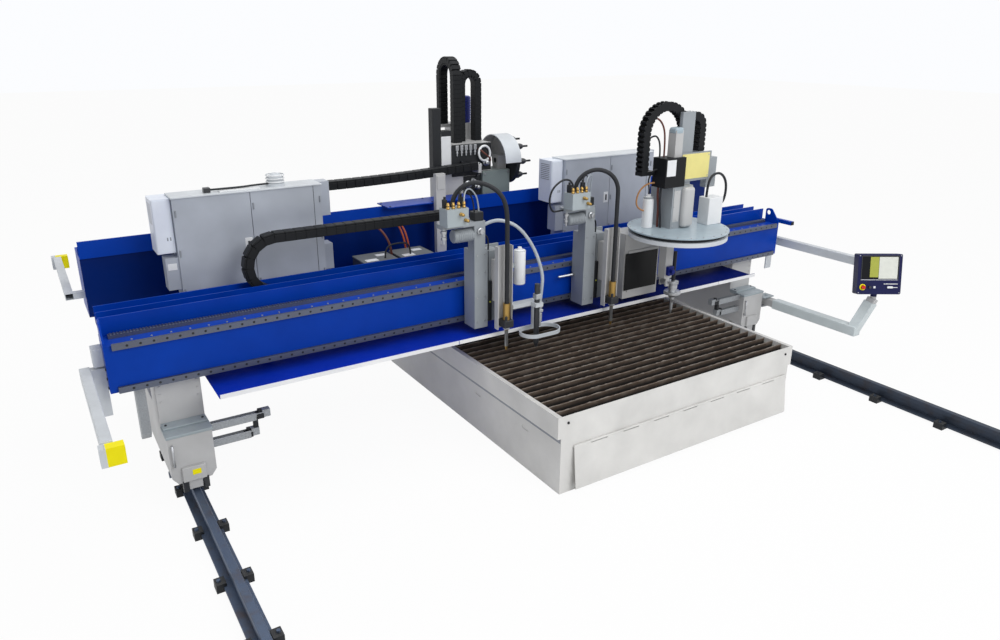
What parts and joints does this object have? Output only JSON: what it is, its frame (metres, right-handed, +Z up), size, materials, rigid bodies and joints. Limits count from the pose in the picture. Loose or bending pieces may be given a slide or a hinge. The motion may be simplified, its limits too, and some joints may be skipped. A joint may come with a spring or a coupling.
{
  "type": "gantry cnc cutting machine",
  "caption": "Wide rail-mounted gantry cutting machine with plasma torches, a bevel rotator, a drill, a slatted table, a swinging console and drag chains.",
  "frame": {"origin": "on the floor, midway between the runway rails, inside the table's footprint", "axes": "+X along the gantry to the right seen from the table's front, +Y along the rails away from the front, +Z up"},
  "size_m": [8.44, 9, 3.6493],
  "materials": {
    "beam_blue": "satin",
    "table_paint": "satin",
    "light_grey": "satin",
    "cabinet_grey": "satin",
    "off_white": "satin",
    "machine_dark": "satin",
    "rail_steel": "rolled",
    "slat_steel": "scaled",
    "bright_steel": "ground",
    "machined_aluminium": "machined",
    "chain_black": "moulded",
    "lead_rubber": "smooth",
    "torch_brass": "machined",
    "console_blue": "satin",
    "screen_dark": "gloss",
    "signal_yellow": "moulded",
    "stop_red": "gloss",
    "knob_grey": "moulded",
    "beacon_orange": "gloss",
    "motor_blue": "satin"
  },
  "bodies": {
    "base": {"runway_rails": "rail_steel", "rail_chairs": "machine_dark", "table_tank": "table_paint", "table_slats": "slat_steel"},
    "slag_door": {"slag_door": "table_paint"},
    "gantry": {"front_beam": "beam_blue", "beam_end_plates": "beam_blue", "guide_rails_and_rack": "bright_steel", "cable_troughs": "beam_blue", "deck": "beam_blue", "rear_beam": "beam_blue", "gantry_legs": "light_grey", "truck_covers": "light_grey", "truck_brackets": "machine_dark", "drip_tray": "beam_blue", "tray_trim": "off_white", "control_cabinets": "cabinet_grey", "cabinet_coolers": "off_white", "supply_boxes": "machine_dark", "warning_beacon": "off_white", "barrier_arms": "off_white", "barrier_heads": "signal_yellow"},
    "wheel_front_left": {"wheel_front_left": "rail_steel"},
    "wheel_front_right": {"wheel_front_right": "rail_steel"},
    "wheel_rear_left": {"wheel_rear_left": "rail_steel"},
    "wheel_rear_right": {"wheel_rear_right": "rail_steel"},
    "console_arm": {"console_arm": "light_grey"},
    "console": {"console_housing": "console_blue", "console_screen": "screen_dark"},
    "emergency_stop": {"emergency_stop": "stop_red"},
    "start_button": {"start_button": "off_white"},
    "feed_knob": {"feed_knob": "knob_grey"},
    "plasma1": {"plasma1_carriage": "light_grey", "plasma1_gas_unit": "machine_dark"},
    "plasma1_lift": {"plasma1_lifter": "light_grey", "plasma1_torch": "torch_brass", "plasma1_lead": "lead_rubber", "marker_torch": "torch_brass", "marker_guard": "off_white"},
    "plasma2": {"plasma2_carriage": "light_grey", "plasma2_gas_unit": "machine_dark"},
    "plasma2_lift": {"plasma2_lifter": "light_grey", "plasma2_torch": "torch_brass", "plasma2_lead": "lead_rubber"},
    "bevel": {"bevel_carriage": "machine_dark", "slew_ring": "off_white"},
    "rotator": {"rotator_disc": "machined_aluminium", "rotator_housing": "light_grey", "rotator_chains": "chain_black"},
    "bevel_column": {"bevel_column": "off_white"},
    "bevel_head": {"bevel_link": "bright_steel", "bevel_torch": "torch_brass"},
    "drill": {"drill_carriage": "light_grey", "drill_chains": "chain_black"},
    "drill_head": {"drill_head": "light_grey", "drill_motor": "motor_blue"},
    "drill_spindle": {"drill_spindle": "bright_steel"},
    "tool_carousel": {"tool_carousel": "machine_dark"},
    "front_chain": {"front_chain": "chain_black"},
    "rear_chain": {"rear_chain": "chain_black"}
  },
  "joints": [
    {"name": "slag_door_hinge", "type": "hinge", "parent": "base", "child": "slag_door", "pos_m": [0.83, -1.811, 0.452], "axis": [-1, 0, 0], "range_deg": [0, 75]},
    {"name": "gantry_travel", "type": "slide", "parent": "base", "child": "gantry", "axis": [0, 1, 0], "range_m": [-3, 2.6]},
    {"name": "console_swing", "type": "hinge", "parent": "gantry", "child": "console_arm", "pos_m": [3.8, -0.29, 0.575], "axis": [0, 0, 1], "range_deg": [-40, 5]},
    {"name": "console_turn", "type": "hinge", "parent": "console_arm", "child": "console", "pos_m": [3.927, -1.663, 1.01], "axis": [0, 0, 1], "range_deg": [-50, 35]},
    {"name": "emergency_stop_press", "type": "slide", "parent": "console", "child": "emergency_stop", "axis": [0.5183, 0.8295, -0.2079], "range_m": [0, 0.006], "stiffness_N_per_m": 900},
    {"name": "start_button_press", "type": "slide", "parent": "console", "child": "start_button", "axis": [0.5183, 0.8295, -0.2079], "range_m": [0, 0.005], "stiffness_N_per_m": 900},
    {"name": "feed_knob_turn", "type": "hinge", "parent": "console", "child": "feed_knob", "pos_m": [3.78869, -1.67676, 1.14568], "axis": [-0.5183, -0.8295, 0.2079], "range_deg": [-150, 150]},
    {"name": "plasma1_travel", "type": "slide", "parent": "gantry", "child": "plasma1", "axis": [1, 0, 0], "range_m": [-1.2, 0.04], "deforming": ["front_chain"]},
    {"name": "plasma1_lift_slide", "type": "slide", "parent": "plasma1", "child": "plasma1_lift", "axis": [0, 0, 1], "range_m": [-0.09, 0.15], "deforming": ["plasma1_lead"]},
    {"name": "plasma2_travel", "type": "slide", "parent": "gantry", "child": "plasma2", "axis": [1, 0, 0], "range_m": [-1.2, 0.04]},
    {"name": "plasma2_lift_slide", "type": "slide", "parent": "plasma2", "child": "plasma2_lift", "axis": [0, 0, 1], "range_m": [-0.09, 0.15], "deforming": ["plasma2_lead"]},
    {"name": "bevel_travel", "type": "slide", "parent": "gantry", "child": "bevel", "axis": [1, 0, 0], "range_m": [-0.03, 1.3]},
    {"name": "rotator_turn", "type": "hinge", "parent": "bevel", "child": "rotator", "pos_m": [1.53, -0.78, 1.93], "axis": [0, 0, 1], "range_deg": [-175, 175]},
    {"name": "bevel_lift", "type": "slide", "parent": "rotator", "child": "bevel_column", "axis": [0, 0, 1], "range_m": [-0.12, 0.15]},
    {"name": "bevel_tilt", "type": "hinge", "parent": "bevel_column", "child": "bevel_head", "pos_m": [1.44, -0.735, 1.35], "axis": [0, 1, 0], "range_deg": [-40, 40]},
    {"name": "drill_travel", "type": "slide", "parent": "gantry", "child": "drill", "axis": [1, 0, 0], "range_m": [-1, 1.2], "deforming": ["rear_chain"]},
    {"name": "drill_feed", "type": "slide", "parent": "drill", "child": "drill_head", "axis": [0, 0, 1], "range_m": [-0.55, 0.1], "deforming": ["drill_chains"]},
    {"name": "drill_spin", "type": "hinge", "parent": "drill_head", "child": "drill_spindle", "pos_m": [0.39, 1.8246, 1.6], "axis": [0, 0, 1], "continuous": true},
    {"name": "carousel_turn", "type": "hinge", "parent": "drill", "child": "tool_carousel", "pos_m": [0.72, 1.39, 2.455], "axis": [1, 0, 0], "continuous": true},
    {"name": "front_chain_roll", "type": "slide", "parent": "gantry", "child": "front_chain", "axis": [1, 0, 0], "range_m": [-0.6, 0.02]},
    {"name": "rear_chain_roll", "type": "slide", "parent": "gantry", "child": "rear_chain", "axis": [1, 0, 0], "range_m": [-0.5, 0.6]},
    {"name": "wheel_front_left_roll", "type": "hinge", "parent": "gantry", "child": "wheel_front_left", "pos_m": [-3.505, -0.13, 0.2853], "axis": [1, 0, 0], "continuous": true},
    {"name": "wheel_front_right_roll", "type": "hinge", "parent": "gantry", "child": "wheel_front_right", "pos_m": [3.505, -0.13, 0.2853], "axis": [1, 0, 0], "continuous": true},
    {"name": "wheel_rear_left_roll", "type": "hinge", "parent": "gantry", "child": "wheel_rear_left", "pos_m": [-3.505, 1.9, 0.2853], "axis": [1, 0, 0], "continuous": true},
    {"name": "wheel_rear_right_roll", "type": "hinge", "parent": "gantry", "child": "wheel_rear_right", "pos_m": [3.505, 1.9, 0.2853], "axis": [1, 0, 0], "continuous": true}
  ],
  "couplings": [
    {"joint": "wheel_front_left_roll", "follows": "gantry_travel", "rad_per_m": -9.0909},
    {"joint": "wheel_front_right_roll", "follows": "gantry_travel", "rad_per_m": -9.0909},
    {"joint": "wheel_rear_left_roll", "follows": "gantry_travel", "rad_per_m": -9.0909},
    {"joint": "wheel_rear_right_roll", "follows": "gantry_travel", "rad_per_m": -9.0909},
    {"joint": "plasma2_travel", "follows": "plasma1_travel", "ratio": 1},
    {"joint": "front_chain_roll", "follows": "plasma1_travel", "ratio": 0.5},
    {"joint": "rear_chain_roll", "follows": "drill_travel", "ratio": 0.5}
  ]
}
